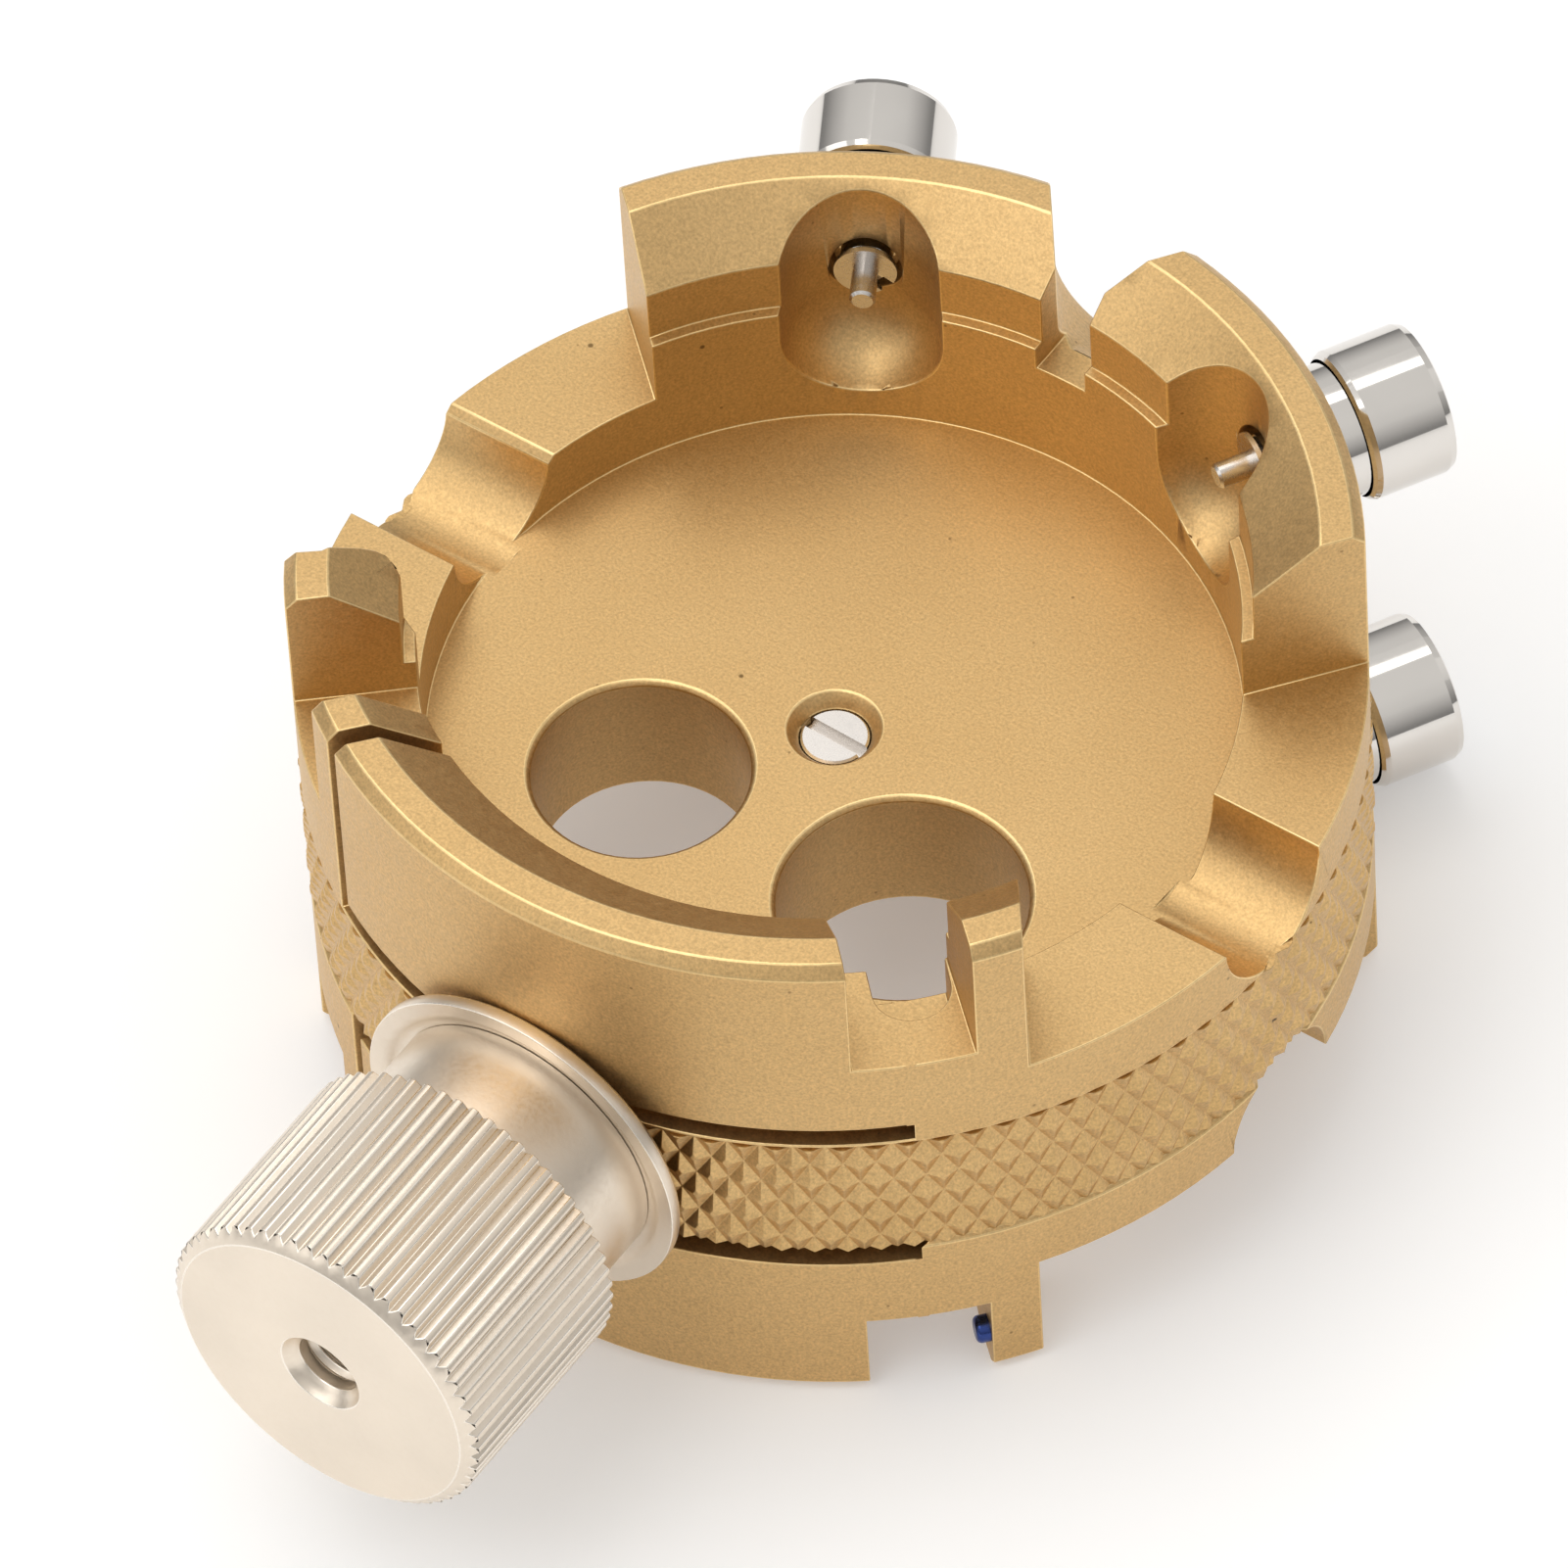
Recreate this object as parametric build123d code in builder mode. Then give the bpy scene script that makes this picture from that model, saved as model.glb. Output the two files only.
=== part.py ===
from build123d import *
import math
import os

os.makedirs("parts", exist_ok=True)

# ---------------------------------------------------------------- driving dimensions (mm)
# Double-sided holder for a 13 1/4 ligne movement.  Z up, origin on the ring axis in the
# floor of the upper recess, clamp knob towards -Y, crown recess towards +Y, diametral
# groove along X.
ring_r = 19.50            # outside radius of the ring
ring_top = 9.97           # top face
ring_bot = -14.13         # bottom face
rim_r = 17.87             # inner edge of the flat top face
guard_r = 15.40           # upper inner wall
seat_r = 14.94            # wall that grips the movement
bevel_top_z = 8.05        # foot of the inner bevel
step_top_z = 5.76         # small step under the bevel wall
web_top = 0.0             # floor of the upper recess
web_bot = -5.83           # roof of the lower recess
step_bot_z = -11.53
bevel_bot_z = -12.73
mid_z = 0.5 * (web_top + web_bot)      # plane of the clamp stud
band_r = 19.30            # root of the knurled band
band_lo, band_hi = -6.01, -0.11

relief_top = 2.79         # height of the open sides of the upper ring
relief_bot = -8.62
notch_top = 4.35          # floor of the two notches beside the upper jaw
notch_bot = -10.18

slit_up = (0.15, 0.97)    # saw cut that frees the upper jaw
slit_lo = (-6.80, -5.98)
slit_w = 0.62             # upright cut at the free end of a jaw
slit_pt = (-8.74, -15.47)
slit_dir = 228.3
pivot_r, pivot_az = 17.22, 308.9       # flexing neck of the jaws
neck_r = 2.60
neck_gap = 0.03

groove_r = 3.00
groove_up_z, groove_lo_z = 2.87, -8.70

pocket_r = 3.00           # ball-ended pockets in front of the pushers
pocket_at = 14.48
pocket_up_z, pocket_lo_z = 4.30, -10.13
pusher_az = {"ul": 120.0, "ur": 60.0, "ll": 120.0, "lr": 60.0}
pusher_z = {"ul": 5.62, "ur": 5.62, "ll": -10.88, "lr": -10.88}

crown_z_up, crown_z_lo = 5.67, -11.23
stem_slot_r = 1.07
slot_floor_up, slot_floor_lo = 4.74, -10.30
crown_in_at, crown_out_r = 16.40, 3.42

hole_1 = (-4.84, -5.40, 4.02)          # x, y, radius
hole_2 = (6.57, -5.22, 4.60)
hole_edge = 0.18

flex_az, flex_end_s, flex_w = 315.0, 16.03, 2.84   # round-ended slot that thins each jaw's neck
flex_up_z, flex_lo_z = 2.40, -8.23                 # its flat floor

stud_r = 1.50
stud_in_y, stud_out_y = -11.00, -29.60
stud_run_r = 1.47         # stud outside the web
face_y = -18.92           # spot face behind the washer

washer_r, washer_t = 6.66, 0.62
washer_y = -19.52         # back of the washer
neck_knob_r = 5.46
knob_r = 6.65
knob_in_y, knob_head_y, knob_out_y = -20.16, -23.80, -32.60
knob_teeth = 60

cap_r, cap_in_s, cap_out_s = 2.90, 20.67, 24.15
cap_bore_r = 2.68
cap_roof_s = 23.20
tube_head_r, tube_head_s = 2.58, 19.38
tube_end_s = 22.10
tube_r, tube_in_s = 1.35, 17.32
tube_nose_r, tube_nose_s = 0.98, 18.06   # slimmer inner end, standing free in the bore
chamber_r = 1.95
stem_r, stem_bore_r = 0.49, 0.53
stem_tip_s = 15.60
ring_clip_r = 1.17


def ray(az, r):
    a = math.radians(az)
    return (r * math.cos(a), r * math.sin(a))


def unit(az):
    return ray(az, 1.0)


# small blued pin in the side of the lower post, facing the notch
pin_r = 0.40
pin_seat = Plane(origin=(14.49, -12.06, -12.38), x_dir=(0, 0, 1), z_dir=(-0.6688, -0.7434, 0))

# pieces of plan geometry ------------------------------------------------------
sd = unit(slit_dir)
to_body = (-0.7466, 0.6652)            # across the upright cut, away from the jaw


def slit_line(t, side):
    return (slit_pt[0] + sd[0] * t + to_body[0] * side, slit_pt[1] + sd[1] * t + to_body[1] * side)


def jaw_plan(side):
    """Corner points of the wedge that a jaw fills, from the upright cut to the neck."""
    return [slit_line(-5.0, side), slit_line(9.0, side), ray(256, 27), ray(272, 27), ray(290, 27),
            ray(pivot_az, 27), ray(pivot_az, 11.0), ray(290, 11.0), ray(270, 11.5)]


def extend(p, q, a, b):
    """Points beyond p and q on their line."""
    dx, dy = q[0] - p[0], q[1] - p[1]
    n = math.hypot(dx, dy)
    return (p[0] - dx / n * a, p[1] - dy / n * a), (q[0] + dx / n * b, q[1] + dy / n * b)


a_in, a_out = extend((-13.14, 7.61), (-16.45, 10.60), 1.2, 4.0)
p1f_in, p1f_out = extend((-13.03, -8.01), (-16.43, -10.62), 1.2, 4.0)
p1n_in, p1n_out = extend((-11.80, -9.61), (-14.97, -12.37), 1.2, 4.0)
sh_in, sh_out = extend((-8.57, -12.56), (-11.39, -15.62), 1.2, 4.0)
b_in, b_out = extend((13.26, 7.78), (15.76, 10.93), 1.2, 4.0)
p2r_in, p2r_out = extend((13.46, -7.49), (16.43, -11.36), 1.2, 4.0)
p2l_in, p2l_out = extend((11.90, -9.73), (14.49, -12.06), 1.2, 4.0)
j_in, j_out = extend((8.75, -12.72), (11.33, -15.26), 1.2, 4.0)

post_far = [(-15.30, -9.72), (-14.98, -9.05), (-14.62, -8.35), (-14.30, -7.90), (-13.98, -7.70), (-13.62, -7.72), (-13.03, -8.01), (-12.20, -8.42)]
relief_left = [a_in, a_out, ray(165, 27), ray(180, 27), ray(200, 27), p1f_out, *post_far, ray(180, 13.2)]
relief_right = [b_in, b_out, ray(15, 27), ray(0, 27), ray(345, 27), p2r_out, p2r_in, ray(0, 13.2)]
notch_left = [p1n_in, p1n_out, ray(227, 27), sh_out, sh_in]
notch_right = [j_in, j_out, ray(313, 27), p2l_out, p2l_in]

ring_profile = [
    (0, web_bot), (seat_r, web_bot), (seat_r, step_bot_z), (guard_r, step_bot_z), (guard_r, bevel_bot_z),
    (rim_r, ring_bot), (19.06, ring_bot), (ring_r, ring_bot + 0.45), (ring_r, band_lo - 0.12), (band_r, band_lo), (band_r, band_hi),
    (ring_r, band_hi + 0.12), (ring_r, ring_top - 0.45), (19.06, ring_top), (rim_r, ring_top),
    (guard_r, bevel_top_z), (guard_r, step_top_z), (seat_r, step_top_z), (seat_r, web_top), (0, web_top),
]


def radial_plane(az, s, z):
    """Plane square to the radius at azimuth az, its normal pointing outwards."""
    u = unit(az)
    return Plane(origin=(u[0] * s, u[1] * s, z), x_dir=(-u[1], u[0], 0), z_dir=(u[0], u[1], 0))


# ---------------------------------------------------------------- body
with BuildPart() as holder_body:
    with BuildSketch(Plane.XZ) as sk:
        with BuildLine():
            Polyline(*ring_profile, close=True)
        make_face()
    revolve(axis=Axis.Z)

    # open sides and notches, upper ring
    with BuildSketch(Plane.XY.offset(relief_top)):
        Polygon(*relief_left, align=None)
        Polygon(*relief_right, align=None)
    extrude(amount=12, mode=Mode.SUBTRACT)
    with BuildSketch(Plane.XY.offset(notch_top)):
        Polygon(*notch_left, align=None)
        Polygon(*notch_right, align=None)
    extrude(amount=12, mode=Mode.SUBTRACT)
    # the same below
    with BuildSketch(Plane.XY.offset(relief_bot)):
        Polygon(*relief_left, align=None)
        Polygon(*relief_right, align=None)
    extrude(amount=-12, mode=Mode.SUBTRACT)
    with BuildSketch(Plane.XY.offset(notch_bot)):
        Polygon(*notch_left, align=None)
        Polygon(*notch_right, align=None)
    extrude(amount=-12, mode=Mode.SUBTRACT)

    # room of the two jaws
    for z0, amount in ((slit_up[0], 14), (slit_lo[1], -14)):
        with BuildSketch(Plane.XY.offset(z0)):
            Polygon(*jaw_plan(slit_w / 2), align=None)
            with Locations(ray(pivot_az, pivot_r)):
                Circle(neck_r + neck_gap)
        extrude(amount=amount, mode=Mode.SUBTRACT)

    # round-bottomed groove across the ring
    for zc in (groove_up_z, groove_lo_z):
        for sgn in (1, -1):
            with BuildSketch(Plane.YZ.offset(sgn * 14.5)):
                with Locations((0, zc)):
                    Circle(groove_r)
            extrude(amount=sgn * 10, mode=Mode.SUBTRACT)

    # broken far edge of the left upper groove
    with BuildSketch(Plane.YZ.offset(-12.6)):
        Polygon((2.90, 2.44), (2.95, 2.44), (3.37, 2.90), (2.90, 2.90), align=None)
    extrude(amount=-10, mode=Mode.SUBTRACT)

    # round-ended slot beside each jaw's neck, open to the recess
    for z0, up in ((flex_up_z, 1), (flex_lo_z, -1)):
        with BuildSketch(Plane.XY.offset(z0)):
            with Locations(Location((*ray(flex_az, flex_end_s - 1.5), 0), (0, 0, flex_az))):
                Rectangle(3.0, flex_w)
            with Locations(ray(flex_az, flex_end_s)):
                Circle(flex_w / 2)
        extrude(amount=up * 9, mode=Mode.SUBTRACT)

    # crown recess and stem slot, open upwards on the upper ring and downwards on the lower one
    for zc, up in ((crown_z_up, 1), (crown_z_lo, -1)):
        for step in (0.0, 8.0):
            with BuildSketch(radial_plane(90, crown_in_at, zc + up * step)):
                Circle(stem_slot_r)
            with BuildSketch(radial_plane(90, ring_r, zc + up * step)):
                Circle(crown_out_r)
            loft(mode=Mode.SUBTRACT)
        with BuildSketch(Plane.XY.offset(zc)):
            with BuildLine():
                Polyline((-stem_slot_r, 13.5), (-stem_slot_r, crown_in_at), (-crown_out_r, ring_r), (-crown_out_r, ring_r + 1),
                         (crown_out_r, ring_r + 1), (crown_out_r, ring_r), (stem_slot_r, crown_in_at), (stem_slot_r, 13.5), close=True)
            make_face()
        extrude(amount=up * 8.0, mode=Mode.SUBTRACT)
        with BuildSketch(Plane.XY.offset(slot_floor_up if up > 0 else slot_floor_lo)):
            with Locations((0, 0.5 * (13.5 + crown_in_at + 0.5))):
                Rectangle(2 * stem_slot_r, crown_in_at + 0.5 - 13.5)
        extrude(amount=up * 3.0, mode=Mode.SUBTRACT)

    # pusher pockets, their bores and seats
    for key in ("ul", "ur", "ll", "lr"):
        az, zp = pusher_az[key], pusher_z[key]
        px, py = ray(az, pocket_at)
        up = key[0] == "u"
        zc = pocket_up_z if up else pocket_lo_z
        with BuildSketch(Plane.XY.offset(zc)):
            with Locations((px, py)):
                Circle(pocket_r)
        extrude(amount=10 if up else -10, mode=Mode.SUBTRACT)
        with Locations((px, py, zc)):
            Sphere(pocket_r, mode=Mode.SUBTRACT)
        with BuildSketch(radial_plane(az, 16.5, zp)):
            Circle(tube_r)
        extrude(amount=6, mode=Mode.SUBTRACT)
        with BuildSketch(radial_plane(az, tube_head_s, zp)):
            Circle(tube_head_r + 0.12)
        extrude(amount=3, mode=Mode.SUBTRACT)

    # through holes of the web
    for hx, hy, hr in (hole_1, hole_2):
        with BuildSketch(Plane.XY.offset(web_bot - 1)):
            with Locations((hx, hy)):
                Circle(hr)
        extrude(amount=web_top - web_bot + 2, mode=Mode.SUBTRACT)
        for zf, s in ((web_top, 1), (web_bot, -1)):
            with BuildSketch(Plane.XY.offset(zf - s * hole_edge)):
                with Locations((hx, hy)):
                    Circle(hr)
            with BuildSketch(Plane.XY.offset(zf)):
                with Locations((hx, hy)):
                    Circle(hr + hole_edge)
            loft(mode=Mode.SUBTRACT)

    # centre screw: tapered mouth, head counterbore, thread hole
    with BuildSketch(Plane.XY.offset(web_top - 0.55)):
        Circle(1.32)
    with BuildSketch(Plane.XY.offset(web_top)):
        Circle(1.76)
    loft(mode=Mode.SUBTRACT)
    with BuildSketch(Plane.XY.offset(web_top - 1.55)):
        Circle(1.32)
    extrude(amount=1.2, mode=Mode.SUBTRACT)
    with BuildSketch(Plane.XY.offset(web_bot - 1)):
        Circle(0.80)
    extrude(amount=5.6, mode=Mode.SUBTRACT)

    # clamp stud hole and the spot face behind the washer
    with BuildSketch(Plane(origin=(0, face_y, mid_z), x_dir=(1, 0, 0), z_dir=(0, -1, 0))):
        Circle(washer_r + 0.45)
    extrude(amount=4, mode=Mode.SUBTRACT)
    with BuildSketch(Plane(origin=(0, stud_in_y, mid_z), x_dir=(1, 0, 0), z_dir=(0, -1, 0))):
        Circle(stud_r)
    extrude(amount=10, mode=Mode.SUBTRACT)

    with BuildSketch(pin_seat):
        Circle(pin_r)
    extrude(amount=-1.2, mode=Mode.SUBTRACT)

holder_body.part.label = "holder_body"


# ---------------------------------------------------------------- jaws
with BuildPart() as upper_clamp_jaw:
    with BuildSketch(Plane.XZ):
        with BuildLine():
            Polyline((seat_r, slit_up[1]), (ring_r, slit_up[1]), (ring_r, ring_top - 0.45), (19.06, ring_top), (rim_r, ring_top),
                     (guard_r, bevel_top_z), (guard_r, step_top_z), (seat_r, step_top_z), close=True)
        make_face()
    revolve(axis=Axis.Z)
    with BuildSketch(Plane.XY.offset(slit_up[1] - 1)):
        Polygon(*jaw_plan(-slit_w / 2), align=None)
        with Locations(ray(pivot_az, pivot_r)):
            Circle(neck_r)
    extrude(amount=14, mode=Mode.INTERSECT)
    with BuildSketch(Plane.XY.offset(notch_top)):
        Polygon(*notch_right, align=None)
    extrude(amount=12, mode=Mode.SUBTRACT)
    with BuildSketch(Plane.XY.offset(flex_up_z)):
        with Locations(Location((*ray(flex_az, flex_end_s - 1.5), 0), (0, 0, flex_az))):
            Rectangle(3.0, flex_w + 0.008)
        with Locations(ray(flex_az, flex_end_s)):
            Circle(flex_w / 2 + 0.004)
    extrude(amount=9, mode=Mode.SUBTRACT)
upper_clamp_jaw.part.label = "upper_clamp_jaw"

with BuildPart() as lower_clamp_jaw:
    with BuildSketch(Plane.XZ):
        with BuildLine():
            Polyline((seat_r, slit_lo[0]), (ring_r, slit_lo[0]), (ring_r, ring_bot + 0.45), (19.06, ring_bot), (rim_r, ring_bot),
                     (guard_r, bevel_bot_z), (guard_r, step_bot_z), (seat_r, step_bot_z), close=True)
        make_face()
    revolve(axis=Axis.Z)
    with BuildSketch(Plane.XY.offset(slit_lo[0] + 1)):
        Polygon(*jaw_plan(-slit_w / 2), align=None)
        with Locations(ray(pivot_az, pivot_r)):
            Circle(neck_r)
    extrude(amount=-14, mode=Mode.INTERSECT)
    with BuildSketch(Plane.XY.offset(notch_bot)):
        Polygon(*notch_right, align=None)
    extrude(amount=-12, mode=Mode.SUBTRACT)
    with BuildSketch(Plane.XY.offset(flex_lo_z)):
        with Locations(Location((*ray(flex_az, flex_end_s - 1.5), 0), (0, 0, flex_az))):
            Rectangle(3.0, flex_w + 0.008)
        with Locations(ray(flex_az, flex_end_s)):
            Circle(flex_w / 2 + 0.004)
    extrude(amount=-9, mode=Mode.SUBTRACT)
lower_clamp_jaw.part.label = "lower_clamp_jaw"


# ---------------------------------------------------------------- clamp screw
def along(y):
    """Plane square to the stud, its normal towards -Y."""
    return Plane(origin=(0, y, mid_z), x_dir=(1, 0, 0), z_dir=(0, -1, 0))


with BuildPart() as clamp_stud:
    with BuildSketch(along(stud_in_y)):
        Circle(stud_r)
    extrude(amount=stud_in_y - (face_y + 0.2))
    with BuildSketch(along(face_y + 0.2)):
        Circle(stud_run_r)
    extrude(amount=(face_y + 0.2) - stud_out_y)
    end_edges = clamp_stud.faces().sort_by(Axis.Y)[0].edges()
    chamfer(end_edges, 0.3)
clamp_stud.part.label = "clamp_stud"

with BuildPart() as thrust_washer:
    with BuildSketch(along(washer_y)):
        Circle(washer_r)
        Circle(1.55, mode=Mode.SUBTRACT)
    extrude(amount=washer_t)
    with BuildSketch(along(washer_y - washer_t + 0.30)):
        Circle(5.50)
    with BuildSketch(along(washer_y - washer_t)):
        Circle(6.14)
    loft(mode=Mode.SUBTRACT)
    chamfer(thrust_washer.faces().sort_by(Axis.Y)[-1].edges().sort_by(SortBy.LENGTH)[-1], 0.12)
thrust_washer.part.label = "thrust_washer"

knob_seat_y = washer_y - washer_t + 0.30 - 0.02      # foot of the knob, just off the washer's floor
with BuildPart() as clamp_knob:
    with BuildSketch(along(knob_seat_y)):
        Circle(neck_knob_r - 0.06)
    extrude(amount=knob_seat_y - knob_head_y)
    # head with straight serrations
    tooth = []
    for i in range(knob_teeth):
        a0 = 2 * math.pi * i / knob_teeth
        w = 2 * math.pi / knob_teeth
        for da, rr in ((0.0, knob_r - 0.26), (0.30, knob_r - 0.03), (0.50, knob_r), (0.70, knob_r - 0.03)):
            a = a0 + da * w
            tooth.append((rr * math.cos(a), rr * math.sin(a)))
    with BuildSketch(along(knob_head_y)):
        Polygon(*tooth, align=None)
    extrude(amount=knob_head_y - knob_out_y)
    # conical trimming of both ends of the serrations
    with BuildSketch(Plane.XY.offset(mid_z)):
        with BuildLine():
            Polyline((knob_r - 0.55, knob_out_y), (knob_r + 1, knob_out_y), (knob_r + 1, knob_out_y + 1.0), (knob_r + 0.02, knob_out_y + 0.46),
                     close=True)
        make_face()
    revolve(axis=Axis(origin=(0, 0, mid_z), direction=(0, 1, 0)), mode=Mode.SUBTRACT)
    # bore: running thread over the stud, then the open thread grooves at the face
    with BuildSketch(along(knob_seat_y)):
        Circle(1.50)
    extrude(amount=knob_seat_y + 30.10, mode=Mode.SUBTRACT)
    groove_pts = [(0, -29.9), (1.50, -29.9), (1.50, -30.10)]
    y = -30.10
    while y - 0.5 > knob_out_y + 0.62:
        groove_pts += [(1.26, y - 0.06), (1.26, y - 0.12), (1.50, y - 0.31), (1.26, y - 0.5)]
        y -= 0.5
    groove_pts += [(1.26, knob_out_y + 0.52), (1.62, knob_out_y + 0.18), (1.80, knob_out_y - 0.2), (0, knob_out_y - 0.2)]
    with BuildSketch(Plane.XY.offset(mid_z)):
        with BuildLine():
            Polyline(*groove_pts, close=True)
        make_face()
    revolve(axis=Axis(origin=(0, 0, mid_z), direction=(0, 1, 0)), mode=Mode.SUBTRACT)
clamp_knob.part.label = "clamp_knob"

# ---------------------------------------------------------------- small parts of the body
with BuildPart() as centre_screw:
    with BuildSketch(Plane.XY.offset(web_top - 1.50)):
        Circle(1.27)
    extrude(amount=1.02)
    chamfer(centre_screw.faces().sort_by(Axis.Z)[-1].edges(), 0.08)
    with BuildSketch(Plane.XY.offset(web_top - 5.0)):
        Circle(0.80)
    extrude(amount=3.6)
    with BuildSketch(Plane(origin=(0, 0, web_top - 0.48 - 0.42), x_dir=(math.cos(math.radians(-2.0)), math.sin(math.radians(-2.0)), 0), z_dir=(0, 0, 1))):
        Rectangle(4, 0.50)
    extrude(amount=1.0, mode=Mode.SUBTRACT)
centre_screw.part.label = "centre_screw"

with BuildPart() as blued_pin:
    with BuildSketch(pin_seat):
        Circle(pin_r)
    extrude(amount=-1.2)
    with BuildSketch(pin_seat):
        Circle(pin_r + 0.12)
    extrude(amount=0.52)
    fillet(blued_pin.faces().sort_by(Axis((0, 0, 0), (-0.6688, -0.7434, 0)))[-1].edges(), 0.2)
blued_pin.part.label = "blued_pin"

# ---------------------------------------------------------------- pushers
caps, stems, tubes, springs, clips, seals = {}, {}, {}, {}, {}, {}
for key in ("ul", "ur", "ll", "lr"):
    az, zp = pusher_az[key], pusher_z[key]
    u = unit(az)
    axis_line = Axis(origin=(0, 0, zp), direction=(u[0], u[1], 0))
    section = Plane(origin=(0, 0, zp), x_dir=(u[0], u[1], 0), z_dir=(u[1], -u[0], 0))   # local x = distance from the ring axis

    with BuildPart() as cap:
        with BuildSketch(section):
            with BuildLine():
                Polyline((cap_in_s, cap_bore_r), (cap_in_s + 0.12, cap_r - 0.10), (cap_in_s + 0.30, cap_r), (cap_out_s - 0.42, cap_r),
                         (cap_out_s - 0.16, cap_r - 0.10), (cap_out_s - 0.05, cap_r - 0.34), (cap_out_s, cap_r - 0.9), (cap_out_s, 0), (23.75, 0),
                         (23.75, stem_r), (cap_roof_s, stem_r), (cap_roof_s, cap_bore_r), close=True)
            make_face()
        revolve(axis=axis_line)
    cap.part.label = "pusher_cap_" + key
    caps[key] = cap

    with BuildPart() as stem:
        with BuildSketch(section):
            with BuildLine():
                Polyline((stem_tip_s, 0), (stem_tip_s, stem_r - 0.10), (stem_tip_s + 0.10, stem_r), (23.75, stem_r), (23.75, 0), close=True)
            make_face()
        revolve(axis=axis_line)
    stem.part.label = "pusher_stem_" + key
    stems[key] = stem

    with BuildPart() as tube:
        with BuildSketch(section):
            with BuildLine():
                Polyline((tube_in_s, stem_bore_r), (tube_in_s, tube_nose_r - 0.12), (tube_in_s + 0.12, tube_nose_r), (tube_nose_s, tube_nose_r),
                         (tube_nose_s, tube_r - 0.12), (tube_nose_s + 0.12, tube_r), (tube_head_s, tube_r), (tube_head_s, tube_head_r),
                         (tube_end_s - 0.15, tube_head_r), (tube_end_s, tube_head_r - 0.15), (tube_end_s, chamber_r), (19.90, chamber_r), (19.90, stem_bore_r),
                         (18.90, stem_bore_r), (18.90, 0.95), (18.30, 0.95), (18.30, stem_bore_r), close=True)
            make_face()
        revolve(axis=axis_line)
    tube.part.label = "pusher_tube_" + key
    tubes[key] = tube

    with BuildPart() as seal:
        with BuildSketch(section):
            with BuildLine():
                Polyline((18.34, 0.56), (18.34, 0.92), (18.86, 0.92), (18.86, 0.56), close=True)
            make_face()
        revolve(axis=axis_line)
    seal.part.label = "pusher_seal_" + key
    seals[key] = seal

    with BuildPart() as clip:
        with BuildSketch(radial_plane(az, 17.02, zp)):
            Circle(ring_clip_r)
            Circle(stem_r, mode=Mode.SUBTRACT)
            with Locations(Location((-0.64, -0.64, 0), (0, 0, 45))):
                Rectangle(1.8, 0.62, mode=Mode.SUBTRACT)
        extrude(amount=0.20)
    clip.part.label = "pusher_clip_" + key
    clips[key] = clip

    turns, wire, coil_r = 4.5, 0.14, 1.45
    with BuildPart() as spring:
        run = cap_roof_s - 0.03 - (19.93 + 2 * wire)
        with BuildLine() as coil:
            Helix(pitch=run / turns, height=run, radius=coil_r, center=(u[0] * (19.93 + wire), u[1] * (19.93 + wire), zp), direction=(u[0], u[1], 0))
        start = coil.edges()[0]
        with BuildSketch(Plane(origin=start @ 0, z_dir=start % 0)):
            Circle(wire)
        sweep(path=coil.wires()[0], is_frenet=True)
    spring.part.label = "pusher_spring_" + key
    springs[key] = spring

# ---------------------------------------------------------------- export
export_step(holder_body.part, "parts/holder_body.step")
export_step(upper_clamp_jaw.part, "parts/upper_clamp_jaw.step")
export_step(lower_clamp_jaw.part, "parts/lower_clamp_jaw.step")
export_step(clamp_stud.part, "parts/clamp_stud.step")
export_step(thrust_washer.part, "parts/thrust_washer.step")
export_step(clamp_knob.part, "parts/clamp_knob.step")
export_step(centre_screw.part, "parts/centre_screw.step")
export_step(blued_pin.part, "parts/blued_pin.step")
for key in ("ul", "ur", "ll", "lr"):
    export_step(caps[key].part, "parts/pusher_cap_" + key + ".step")
    export_step(stems[key].part, "parts/pusher_stem_" + key + ".step")
    export_step(tubes[key].part, "parts/pusher_tube_" + key + ".step")
    export_step(seals[key].part, "parts/pusher_seal_" + key + ".step")
    export_step(clips[key].part, "parts/pusher_clip_" + key + ".step")
    export_step(springs[key].part, "parts/pusher_spring_" + key + ".step")
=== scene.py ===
import bpy
import bmesh
import math
import random
from mathutils import Matrix, Vector


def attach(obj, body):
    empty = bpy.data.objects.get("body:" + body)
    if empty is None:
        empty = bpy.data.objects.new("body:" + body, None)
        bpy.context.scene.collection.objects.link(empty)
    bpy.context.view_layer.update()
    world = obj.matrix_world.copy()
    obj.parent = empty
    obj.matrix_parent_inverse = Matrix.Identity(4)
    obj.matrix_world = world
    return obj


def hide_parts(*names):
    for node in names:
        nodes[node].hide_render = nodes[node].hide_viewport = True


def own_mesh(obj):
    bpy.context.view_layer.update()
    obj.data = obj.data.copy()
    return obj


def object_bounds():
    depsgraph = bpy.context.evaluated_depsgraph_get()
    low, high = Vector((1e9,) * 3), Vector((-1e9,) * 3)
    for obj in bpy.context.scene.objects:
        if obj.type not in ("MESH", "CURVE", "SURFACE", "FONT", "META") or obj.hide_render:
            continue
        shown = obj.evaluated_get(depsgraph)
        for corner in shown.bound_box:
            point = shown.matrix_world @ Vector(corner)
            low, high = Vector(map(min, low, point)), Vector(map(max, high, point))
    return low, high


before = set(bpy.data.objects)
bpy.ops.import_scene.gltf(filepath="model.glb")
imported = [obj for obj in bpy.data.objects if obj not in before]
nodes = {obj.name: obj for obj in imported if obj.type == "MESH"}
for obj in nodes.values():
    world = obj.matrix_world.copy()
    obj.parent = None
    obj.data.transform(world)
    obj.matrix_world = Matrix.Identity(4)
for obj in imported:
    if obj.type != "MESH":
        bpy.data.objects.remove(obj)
cad_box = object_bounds()
scene = bpy.context.scene
MM = 0.001
random.seed(4)

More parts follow.
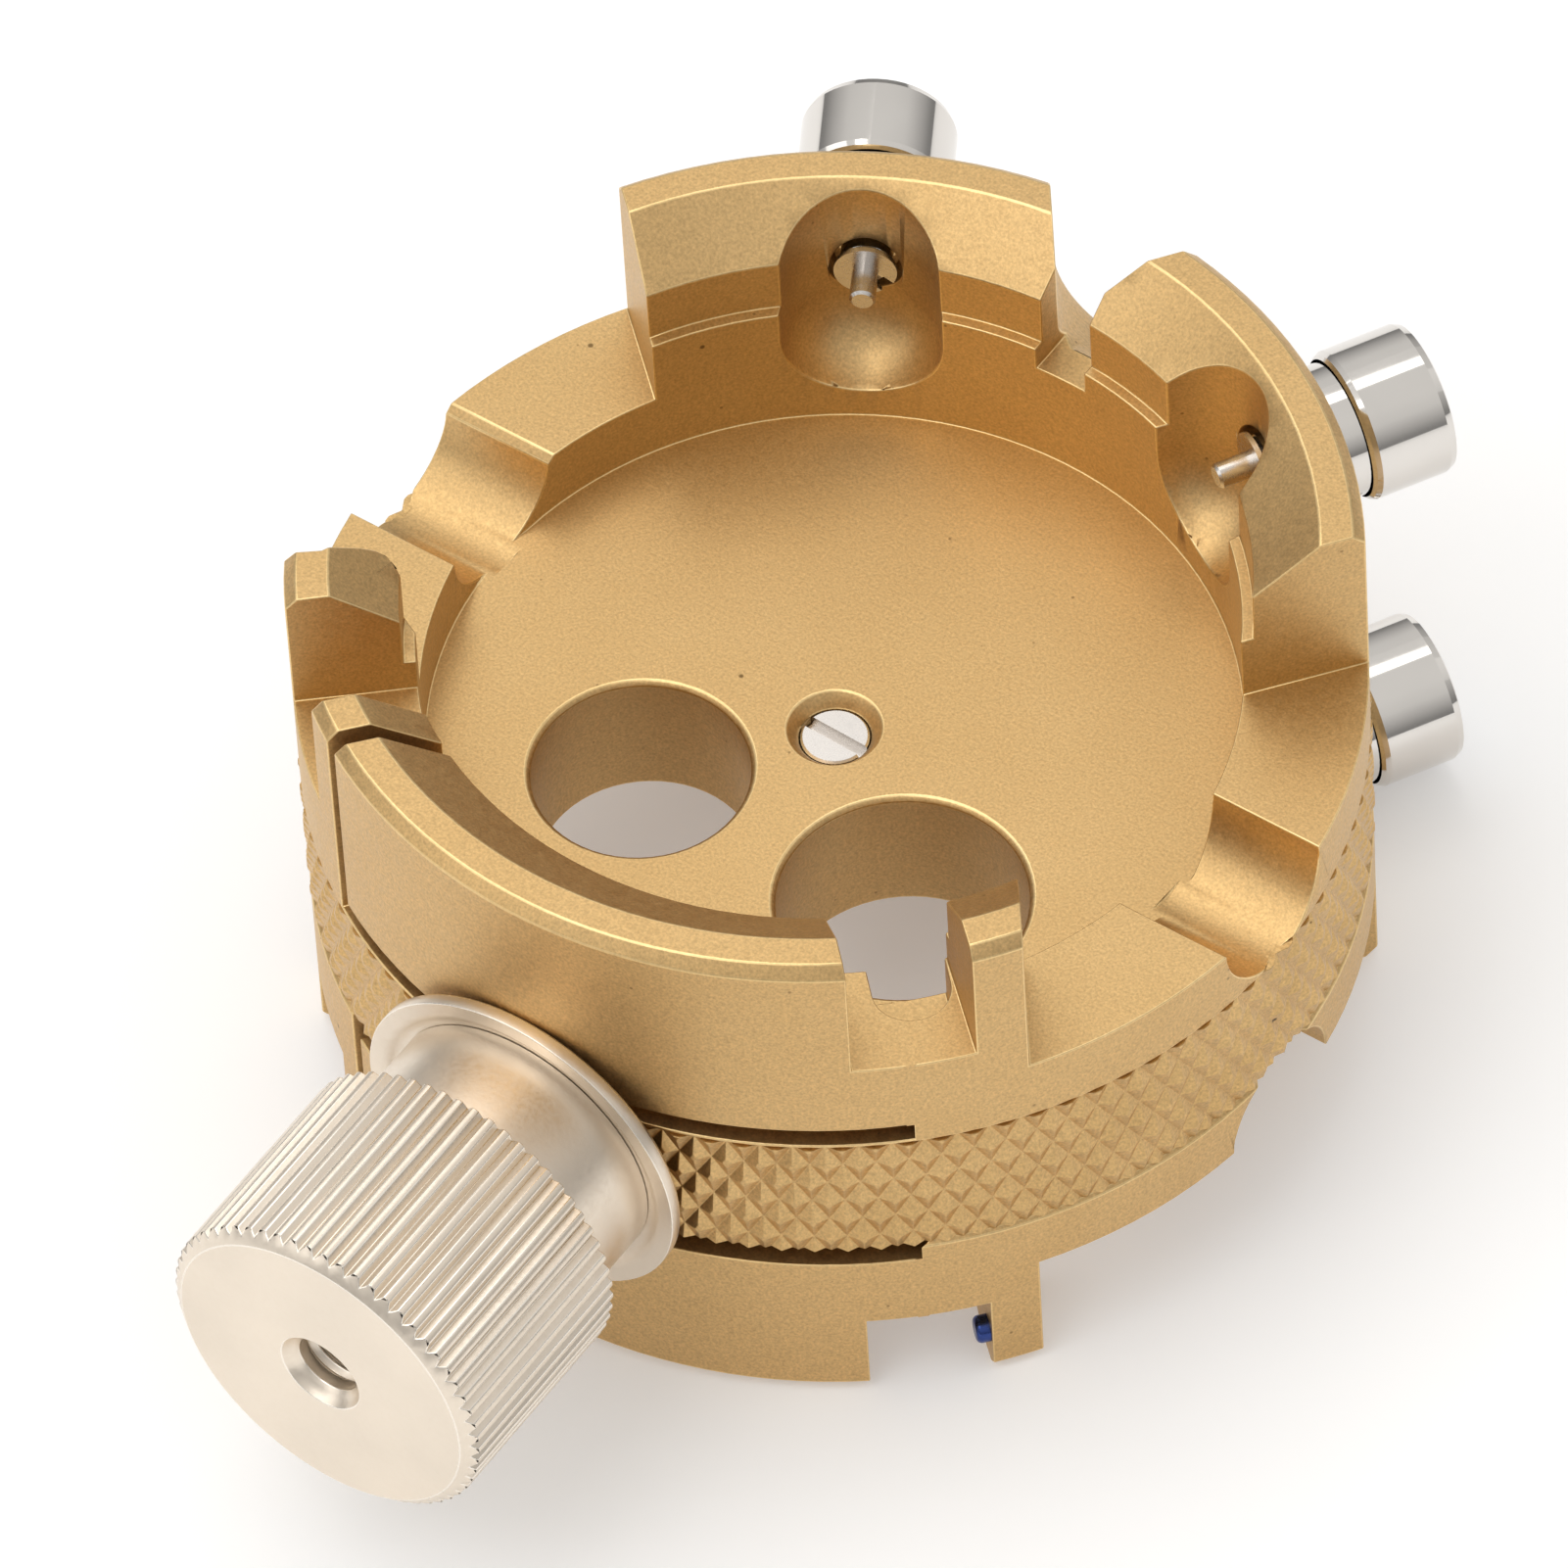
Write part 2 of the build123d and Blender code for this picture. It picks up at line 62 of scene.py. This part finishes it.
# ------------------------------------------------------------------ camera at the photograph's angle
turn = math.radians(37.5)
e = math.radians(50.646)
roll = math.radians(-3.714)
right = Vector((math.cos(turn), math.sin(turn), 0))
fwd = Vector((-math.sin(turn) * math.cos(e), math.cos(turn) * math.cos(e), -math.sin(e)))
up = Vector((-math.sin(turn) * math.sin(e), math.cos(turn) * math.sin(e), math.cos(e)))
cx = math.cos(roll) * right + math.sin(roll) * up
cy = -math.sin(roll) * right + math.cos(roll) * up
eye = (Vector((0, 0, -4.38)) - 2.016 * cx + 0.714 * cy - 747.63 * fwd) * MM
cam = bpy.data.cameras.new("camera")
cam.lens, cam.sensor_width = 469.92, 36.0
cam.clip_start, cam.clip_end = 0.05, 20.0
cam_ob = bpy.data.objects.new("camera", cam)
scene.collection.objects.link(cam_ob)
cam_ob.matrix_world = Matrix(((cx.x, cy.x, -fwd.x, eye.x), (cx.y, cy.y, -fwd.y, eye.y), (cx.z, cy.z, -fwd.z, eye.z), (0, 0, 0, 1)))
scene.camera = cam_ob
scene.view_settings.view_transform = "Standard"
scene.view_settings.look = "None"


# ------------------------------------------------------------------ materials
def new_material(name):
    m = bpy.data.materials.new(name)
    m.use_nodes = True
    nt = m.node_tree
    nt.nodes.clear()
    out = nt.nodes.new("ShaderNodeOutputMaterial")
    sh = nt.nodes.new("ShaderNodeBsdfPrincipled")
    nt.links.new(sh.outputs[0], out.inputs[0])
    return m, nt, sh


def noise(nt, coord, scale, detail=3.0, rough=0.5, distortion=0.0):
    n = nt.nodes.new("ShaderNodeTexNoise")
    n.inputs["Scale"].default_value = scale
    n.inputs["Detail"].default_value = detail
    n.inputs["Roughness"].default_value = rough
    n.inputs["Distortion"].default_value = distortion
    nt.links.new(coord, n.inputs["Vector"])
    return n.outputs["Fac"]


def remap(nt, src, a, b, c, d):
    n = nt.nodes.new("ShaderNodeMapRange")
    n.inputs["From Min"].default_value, n.inputs["From Max"].default_value = a, b
    n.inputs["To Min"].default_value, n.inputs["To Max"].default_value = c, d
    nt.links.new(src, n.inputs["Value"])
    return n.outputs["Result"]


def mix_rgb(nt, fac, a, b, mode="MIX"):
    n = nt.nodes.new("ShaderNodeMix")
    n.data_type, n.blend_type = "RGBA", mode
    for i, v in ((0, fac), (6, a), (7, b)):
        if isinstance(v, (int, float)):
            n.inputs[i].default_value = v
        elif isinstance(v, tuple):
            n.inputs[i].default_value = (*v, 1)
        else:
            nt.links.new(v, n.inputs[i])
    return n.outputs[2]


def math_node(nt, op, a, b=None):
    n = nt.nodes.new("ShaderNodeMath")
    n.operation = op
    for i, v in ((0, a), (1, b)):
        if v is None:
            continue
        if isinstance(v, (int, float)):
            n.inputs[i].default_value = v
        else:
            nt.links.new(v, n.inputs[i])
    return n.outputs[0]


def specks(nt, coord, scale, size, share):
    """1 on scattered tiny dots, 0 elsewhere."""
    v = nt.nodes.new("ShaderNodeTexVoronoi")
    v.feature = "F1"
    v.inputs["Scale"].default_value = scale
    nt.links.new(coord, v.inputs["Vector"])
    near = remap(nt, v.outputs["Distance"], size, size * 0.6, 0, 1)
    sep = nt.nodes.new("ShaderNodeSeparateColor")
    nt.links.new(v.outputs["Color"], sep.inputs[0])
    pick = math_node(nt, "LESS_THAN", sep.outputs[0], share)
    return math_node(nt, "MULTIPLY", near, pick)


def scratches(nt, coord, scale, stretch, turn_deg, width, share):
    """1 on a few thin straight lines."""
    mp = nt.nodes.new("ShaderNodeMapping")
    mp.inputs["Rotation"].default_value = (math.radians(turn_deg), math.radians(turn_deg * 0.6), math.radians(turn_deg * 1.7))
    mp.inputs["Scale"].default_value = (1.0, stretch, 1.0)
    nt.links.new(coord, mp.inputs["Vector"])
    v = nt.nodes.new("ShaderNodeTexVoronoi")
    v.feature = "F1"
    v.inputs["Scale"].default_value = scale
    nt.links.new(mp.outputs[0], v.inputs["Vector"])
    near = remap(nt, v.outputs["Distance"], width, width * 0.4, 0, 1)
    sep = nt.nodes.new("ShaderNodeSeparateColor")
    nt.links.new(v.outputs["Color"], sep.inputs[0])
    pick = math_node(nt, "LESS_THAN", sep.outputs[1], share)
    return math_node(nt, "MULTIPLY", near, pick)


def bump(nt, sh, height, distance, strength=1.0, after=None):
    b = nt.nodes.new("ShaderNodeBump")
    b.inputs["Strength"].default_value = strength
    b.inputs["Distance"].default_value = distance
    nt.links.new(height, b.inputs["Height"])
    if after is not None:
        nt.links.new(after, b.inputs["Normal"])
    nt.links.new(b.outputs[0], sh.inputs["Normal"])
    return b.outputs[0]


def coords(nt):
    return nt.nodes.new("ShaderNodeTexCoord").outputs["Object"]


def brass(name, light, dark, rough_lo, rough_hi, grain=1.0, marks=1.0):
    m, nt, sh = new_material(name)
    co = coords(nt)
    cloud = noise(nt, co, 160, 4, 0.55)
    fine = noise(nt, co, 9000, 2, 0.6)
    mid = noise(nt, co, 3200, 3, 0.6)
    base = mix_rgb(nt, remap(nt, cloud, 0.30, 0.70, 0, 1), dark, light)
    # blasted grain: small light and dark points
    g = remap(nt, fine, 0.25, 0.75, 1.0 - 0.20 * grain, 1.0 + 0.20 * grain)
    g2 = remap(nt, mid, 0.25, 0.75, 0.95, 1.05)
    gray = nt.nodes.new("ShaderNodeCombineColor")
    gg = math_node(nt, "MULTIPLY", g, g2)
    for i in range(3):
        nt.links.new(gg, gray.inputs[i])
    base = mix_rgb(nt, 1.0, base, gray.outputs[0], "MULTIPLY")
    # small dark specks and thin scratches from handling
    dots = math_node(nt, "MULTIPLY", specks(nt, co, 420, 0.055, 0.22), 0.75 * marks)
    base = mix_rgb(nt, dots, base, (0.10, 0.055, 0.02))
    pits = math_node(nt, "MULTIPLY", specks(nt, co, 1300, 0.10, 0.07), 0.60 * marks)
    base = mix_rgb(nt, pits, base, (0.20, 0.12, 0.05))
    lines = math_node(nt, "MULTIPLY", scratches(nt, co, 260, 0.10, 33, 0.035, 0.10), 0.35 * marks)
    base = mix_rgb(nt, lines, base, (0.16, 0.10, 0.045))
    nt.links.new(base, sh.inputs["Base Color"])
    sh.inputs["Metallic"].default_value = 1.0
    nt.links.new(remap(nt, mid, 0.3, 0.7, rough_lo, rough_hi), sh.inputs["Roughness"])
    b1 = bump(nt, sh, fine, 0.000010, 0.55 * grain)
    bump(nt, sh, mid, 0.000012, 0.35 * grain, b1)
    return m


brass_m = brass("brass_blasted", (0.635, 0.426, 0.193), (0.605, 0.398, 0.174), 0.40, 0.50)
brass_edge = brass("brass_edge", (0.840, 0.620, 0.310), (0.720, 0.500, 0.225), 0.30, 0.40, 0.5, 0.4)
brass_knurl = brass("brass_knurl", (0.640, 0.430, 0.195), (0.560, 0.362, 0.150), 0.36, 0.46, 1.2, 1.6)


def plated(name, tone, rough_lo, rough_hi, grain_scale, grain_depth, speck=0.3):
    m, nt, sh = new_material(name)
    co = coords(nt)
    cloud = noise(nt, co, 220, 3, 0.5)
    fine = noise(nt, co, grain_scale, 3, 0.6)
    dark = tuple(0.93 * c for c in tone)
    base = mix_rgb(nt, remap(nt, cloud, 0.3, 0.7, 0, 1), dark, tone)
    if speck:
        dots = math_node(nt, "MULTIPLY", specks(nt, co, 520, 0.05, 0.12), speck)
        base = mix_rgb(nt, dots, base, (0.16, 0.13, 0.10))
    nt.links.new(base, sh.inputs["Base Color"])
    sh.inputs["Metallic"].default_value = 1.0
    nt.links.new(remap(nt, fine, 0.3, 0.7, rough_lo, rough_hi), sh.inputs["Roughness"])
    bump(nt, sh, fine, grain_depth, 0.5)
    return m


nickel_m = plated("nickel_satin", (0.840, 0.742, 0.622), 0.30, 0.42, 5200, 0.000007)
nickel_edge = plated("nickel_edge", (0.920, 0.850, 0.750), 0.20, 0.30, 5200, 0.000003, 0.0)
chrome_m = plated("chrome_polished", (0.745, 0.710, 0.668), 0.060, 0.090, 900, 0.0000004, 0.0)
steel_m = plated("steel_bright", (0.700, 0.660, 0.620), 0.20, 0.32, 3000, 0.000002, 0.2)
blued_m = plated("steel_blued", (0.045, 0.075, 0.260), 0.22, 0.35, 3000, 0.000002, 0.0)
m, nt, sh = new_material("rubber_seal")
co = coords(nt)
nt.links.new(mix_rgb(nt, noise(nt, co, 4000, 2), (0.018, 0.017, 0.016), (0.035, 0.033, 0.031)), sh.inputs["Base Color"])
sh.inputs["Roughness"].default_value = 0.65
rubber_m = m


# ------------------------------------------------------------------ CAD nodes: real broken edges and finishes
def finish_node(ob, mat, edge=None, width=0.05, angle=28, segments=2, weld=0.004):
    me = ob.data
    me.materials.clear()
    me.materials.append(mat)
    if edge is not None:
        me.materials.append(edge)
    w = ob.modifiers.new("weld", "WELD")
    w.merge_threshold = weld * MM
    d = ob.modifiers.new("flat", "DECIMATE")
    d.decimate_type = "DISSOLVE"
    d.angle_limit = math.radians(0.25)
    if width:
        b = ob.modifiers.new("edges", "BEVEL")
        b.width = width * MM
        b.segments = segments
        b.limit_method = "ANGLE"
        b.angle_limit = math.radians(angle)
        b.use_clamp_overlap = False
        b.miter_outer = "MITER_SHARP"
        b.material = 1 if edge is not None else -1
    n = ob.modifiers.new("shade", "WEIGHTED_NORMAL")
    n.mode = "FACE_AREA_WITH_ANGLE"
    n.weight = 50
    n.keep_sharp = False
    t = ob.modifiers.new("tri", "TRIANGULATE")
    t.keep_custom_normals = True


def plain_node(ob, mat):
    ob.data.materials.clear()
    ob.data.materials.append(mat)


for name, ob in nodes.items():
    if name in ("holder_body", "upper_clamp_jaw", "lower_clamp_jaw"):
        finish_node(ob, brass_m, brass_edge, 0.06)
    elif name in ("thrust_washer", "clamp_knob"):
        finish_node(ob, nickel_m, nickel_edge, 0.035)
    elif name.startswith("pusher_cap") or name.startswith("pusher_tube"):
        plain_node(ob, chrome_m)
    elif name.startswith("pusher_seal"):
        plain_node(ob, rubber_m)
    elif name.startswith("pusher_spring"):
        pass
    elif name == "blued_pin":
        plain_node(ob, blued_m)
    else:
        plain_node(ob, steel_m)


def mesh_object(name, bm, mat, smooth=False):
    me = bpy.data.meshes.new(name)
    bm.to_mesh(me)
    bm.free()
    ob = bpy.data.objects.new(name, me)
    scene.collection.objects.link(ob)
    me.materials.append(mat)
    for p in me.polygons:
        p.use_smooth = smooth
    return ob


# ------------------------------------------------------------------ diamond knurl round the middle band
def knurl_band():
    count, rise = 102, 2.08              # diamonds round the band, height of one diamond
    z_hi, z_lo = -0.11, -6.01
    r_root, r_tip, r_in = 19.315, 19.56, 19.05
    bm = bmesh.new()
    cache = {}

    def vert(k, z, r):
        key = (round(k, 4) % (2 * count) if abs(round(k, 4) - round(k, 4) % (2 * count)) > 1e-6 else round(k, 4), round(z, 4), round(r, 4))
        if key not in cache:
            a = math.pi * k / count
            cache[key] = bm.verts.new((r * math.cos(a) * MM, r * math.sin(a) * MM, z * MM))
        return cache[key]

    # k counts half diamonds; crossings of the two groove families lie on a half-pitch lattice
    rows = int((z_hi - z_lo) / (rise / 2)) + 3
    z_start = z_hi + rise / 2
    for row in range(rows + 1):
        zc = z_start - row * rise / 2
        for i in range(count):
            k = 2 * i + (row % 2)
            w, h = 1.0, rise / 2
            t = 0.22
            base = [(k - w, zc), (k, zc - h), (k + w, zc), (k, zc + h)]
            top = [(k - w * t, zc), (k, zc - h * t), (k + w * t, zc), (k, zc + h * t)]
            bv = [vert(x, z, r_root) for x, z in base]
            tv = [vert(x, z, r_tip) for x, z in top]
            bm.faces.new(tv)
            for j in range(4):
                bm.faces.new((bv[j], bv[(j + 1) % 4], tv[(j + 1) % 4], tv[j]))
    bmesh.ops.remove_doubles(bm, verts=bm.verts, dist=1e-7)
    for z, n in ((z_hi, (0, 0, 1)), (z_lo, (0, 0, -1))):
        bmesh.ops.bisect_plane(bm, geom=bm.verts[:] + bm.edges[:] + bm.faces[:], plane_co=(0, 0, z * MM), plane_no=n, clear_outer=True, dist=1e-9)
    # close it with an inner wall
    bm.edges.ensure_lookup_table()
    rim = [ed for ed in bm.edges if ed.is_boundary]
    ret = bmesh.ops.extrude_edge_only(bm, edges=rim)
    new = [g for g in ret["geom"] if isinstance(g, bmesh.types.BMVert)]
    for v in new:
        a = math.atan2(v.co.y, v.co.x)
        v.co.x, v.co.y = r_in * MM * math.cos(a), r_in * MM * math.sin(a)
    bmesh.ops.remove_doubles(bm, verts=new, dist=1e-7)
    loops = [ed for ed in bm.edges if ed.is_boundary]
    bmesh.ops.bridge_loops(bm, edges=loops)
    bmesh.ops.recalc_face_normals(bm, faces=bm.faces)
    return mesh_object("knurl_band", bm, brass_knurl)


def cylinder(name, r, a, b, n=96):
    """A closed cylinder of radius r between points a and b, millimetres."""
    a, b = Vector(a) * MM, Vector(b) * MM
    bm = bmesh.new()
    bmesh.ops.create_cone(bm, cap_ends=True, segments=n, radius1=r * MM, radius2=r * MM, depth=(b - a).length)
    bm.transform(Matrix.Translation((a + b) / 2) @ (b - a).to_track_quat("Z", "Y").to_matrix().to_4x4())
    return mesh_object(name, bm, brass_m)


def apply_modifiers(ob):
    dg = bpy.context.evaluated_depsgraph_get()
    me = bpy.data.meshes.new_from_object(ob.evaluated_get(dg))
    ob.modifiers.clear()
    ob.data = me


band = knurl_band()
cutters = [cylinder("cut_face", 7.14, (0, -18.935, -2.915), (0, -24, -2.915)),
           cylinder("cut_up", 2.99, (-25, 0, 2.87), (25, 0, 2.87)),
           cylinder("cut_low", 2.99, (-25, 0, -8.70), (25, 0, -8.70))]
for c in cutters:
    bo = band.modifiers.new(c.name, "BOOLEAN")
    bo.operation, bo.solver, bo.object = "DIFFERENCE", "EXACT", c
be = band.modifiers.new("soft", "BEVEL")
be.width, be.segments, be.limit_method, be.angle_limit, be.use_clamp_overlap = 0.02 * MM, 1, "ANGLE", math.radians(20), False
apply_modifiers(band)
for c in cutters:
    bpy.data.objects.remove(c)
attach(band, "holder")

# ------------------------------------------------------------------ flexing necks: the ring runs on into each jaw
pivot = Vector((17.22 * math.cos(math.radians(308.9)), 17.22 * math.sin(math.radians(308.9))))


def neck(name, z_a, z_b, body):
    bm = bmesh.new()
    lo, hi = min(z_a, z_b), max(z_a, z_b)
    columns = []
    n = 160

    def bound(r, target, lo_t, hi_t):
        for _ in range(50):
            mt = 0.5 * (lo_t + hi_t)
            p = pivot + Vector((r * math.cos(mt), r * math.sin(mt)))
            if (p.length < target) == ((pivot + Vector((r * math.cos(lo_t), r * math.sin(lo_t)))).length < target):
                lo_t = mt
            else:
                hi_t = mt
        return 0.5 * (lo_t + hi_t)

    out_dir = math.radians(308.9)
    rings = []
    for r in (2.52, 2.70):
        t0 = bound(r, 19.50, out_dir, out_dir + math.pi / 2)          # meets the outside wall
        t1 = bound(r, 14.94, out_dir + math.pi / 2, out_dir + math.pi)  # meets the inside wall
        rings.append([pivot + Vector((r * math.cos(t0 + (t1 - t0) * i / n), r * math.sin(t0 + (t1 - t0) * i / n))) for i in range(n + 1)])
    up_side = z_b > z_a
    for i in range(n + 1):
        p, q = rings[0][i], rings[1][i]
        ends = []
        for v in (p, q):
            along = (v.x - v.y) * math.sqrt(0.5)              # distance along the round-ended slot beside the neck
            across = (v.x + v.y) * math.sqrt(0.5)
            if math.hypot(max(along - 16.03, 0.0), across) < 1.42:
                ends.append(2.401 if up_side else -8.231)
            else:
                ends.append(z_b)
        if up_side:
            zs = (lo, lo, ends[1], ends[0])
        else:
            zs = (ends[0], ends[1], hi, hi)
        columns.append([bm.verts.new((p.x * MM, p.y * MM, zs[0] * MM)), bm.verts.new((q.x * MM, q.y * MM, zs[1] * MM)),
                        bm.verts.new((q.x * MM, q.y * MM, zs[2] * MM)), bm.verts.new((p.x * MM, p.y * MM, zs[3] * MM))])
    for i in range(n):
        a, b = columns[i], columns[i + 1]
        for j in range(4):
            bm.faces.new((a[j], a[(j + 1) % 4], b[(j + 1) % 4], b[j]))
    bm.faces.new(columns[0])
    bm.faces.new(columns[-1])
    bmesh.ops.recalc_face_normals(bm, faces=bm.faces)
    ob = mesh_object(name, bm, brass_m)
    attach(ob, body)
    return ob


neck("neck_upper", 0.97, 4.351, "upper_jaw")
neck("neck_lower", -6.80, -10.181, "lower_jaw")

# ------------------------------------------------------------------ pusher springs: each coil is copied in steel onto the holder, and the imported spring part is hidden
for key, az in (("ul", 120.0), ("ur", 60.0), ("ll", 120.0), ("lr", 60.0)):
    src = nodes["pusher_spring_" + key]
    me = src.data.copy()
    me.name = "spring_coil_" + key
    me.materials.clear()
    me.materials.append(steel_m)
    ob = bpy.data.objects.new("spring_coil_" + key, me)
    scene.collection.objects.link(ob)
    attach(ob, "holder")
    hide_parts("pusher_spring_" + key)
    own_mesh(ob)

# ------------------------------------------------------------------ floor and light
floor_z = cad_box[0][2] if hasattr(cad_box[0], "__len__") else -14.13 * MM
bm = bmesh.new()
bmesh.ops.create_grid(bm, x_segments=1, y_segments=1, size=3.0)
bm.transform(Matrix.Translation((0, 0, floor_z - 0.00001)))
m, nt, sh = new_material("floor_pale")
co = coords(nt)
nt.links.new(mix_rgb(nt, noise(nt, co, 3, 2), (0.80, 0.80, 0.80), (0.82, 0.82, 0.82)), sh.inputs["Base Color"])
sh.inputs["Roughness"].default_value = 0.9
sh.inputs["Emission Color"].default_value = (1.0, 1.0, 1.0, 1)
sh.inputs["Emission Strength"].default_value = 0.25
floor = mesh_object("floor", bm, m)

# studio dome: bright overhead, dim near the horizon
world = bpy.data.worlds.new("studio")
scene.world = world
world.use_nodes = True
wt = world.node_tree
bg = wt.nodes["Background"]
tc = wt.nodes.new("ShaderNodeTexCoord")
sp = wt.nodes.new("ShaderNodeSeparateXYZ")
wt.links.new(tc.outputs["Generated"], sp.inputs[0])
ramp = wt.nodes.new("ShaderNodeValToRGB")
wt.links.new(sp.outputs["Z"], ramp.inputs[0])
stops = [(0.0, 0.30), (0.10, 0.38), (0.26, 0.58), (0.55, 0.92), (0.80, 1.02), (1.0, 1.03)]
els = ramp.color_ramp.elements
while len(els) > 1:
    els.remove(els[-1])
els[0].position, els[0].color = stops[0][0], (stops[0][1],) * 3 + (1,)
for p, v in stops[1:]:
    el = els.new(p)
    el.color = (v, v * 0.995, v * 0.985, 1)
wt.links.new(ramp.outputs[0], bg.inputs["Color"])
bg.inputs["Strength"].default_value = 0.80


def soft_light(name, at, to, size, watts, color=(1, 1, 1)):
    l = bpy.data.lights.new(name, "AREA")
    l.shape, l.size, l.size_y, l.energy, l.color = "RECTANGLE", size[0], size[1], watts, color
    ob = bpy.data.objects.new(name, l)
    scene.collection.objects.link(ob)
    at, to = Vector(at), Vector(to)
    ob.matrix_world = Matrix.Translation(at) @ (to - at).to_track_quat("-Z", "Y").to_matrix().to_4x4()


def at_view(side, height, toward):
    """A point given as right of, above and towards the viewer."""
    flat = Vector((-fwd.x, -fwd.y, 0)).normalized()
    return right * side + Vector((0, 0, height)) + flat * toward


soft_light("top", at_view(-0.12, 0.55, -0.14), (0, 0, 0), (0.5, 0.4), 0.90, (1, 0.99, 0.97))
soft_light("left", at_view(-0.55, 0.35, 0.15), (0, 0, 0), (0.35, 0.5), 0.46)
soft_light("front_left", at_view(-0.22, 0.52, 0.24), (0, 0, 0), (0.24, 0.24), 0.34)
soft_light("right", at_view(0.6, 0.30, -0.15), (0, 0, 0), (0.3, 0.5), 0.08)
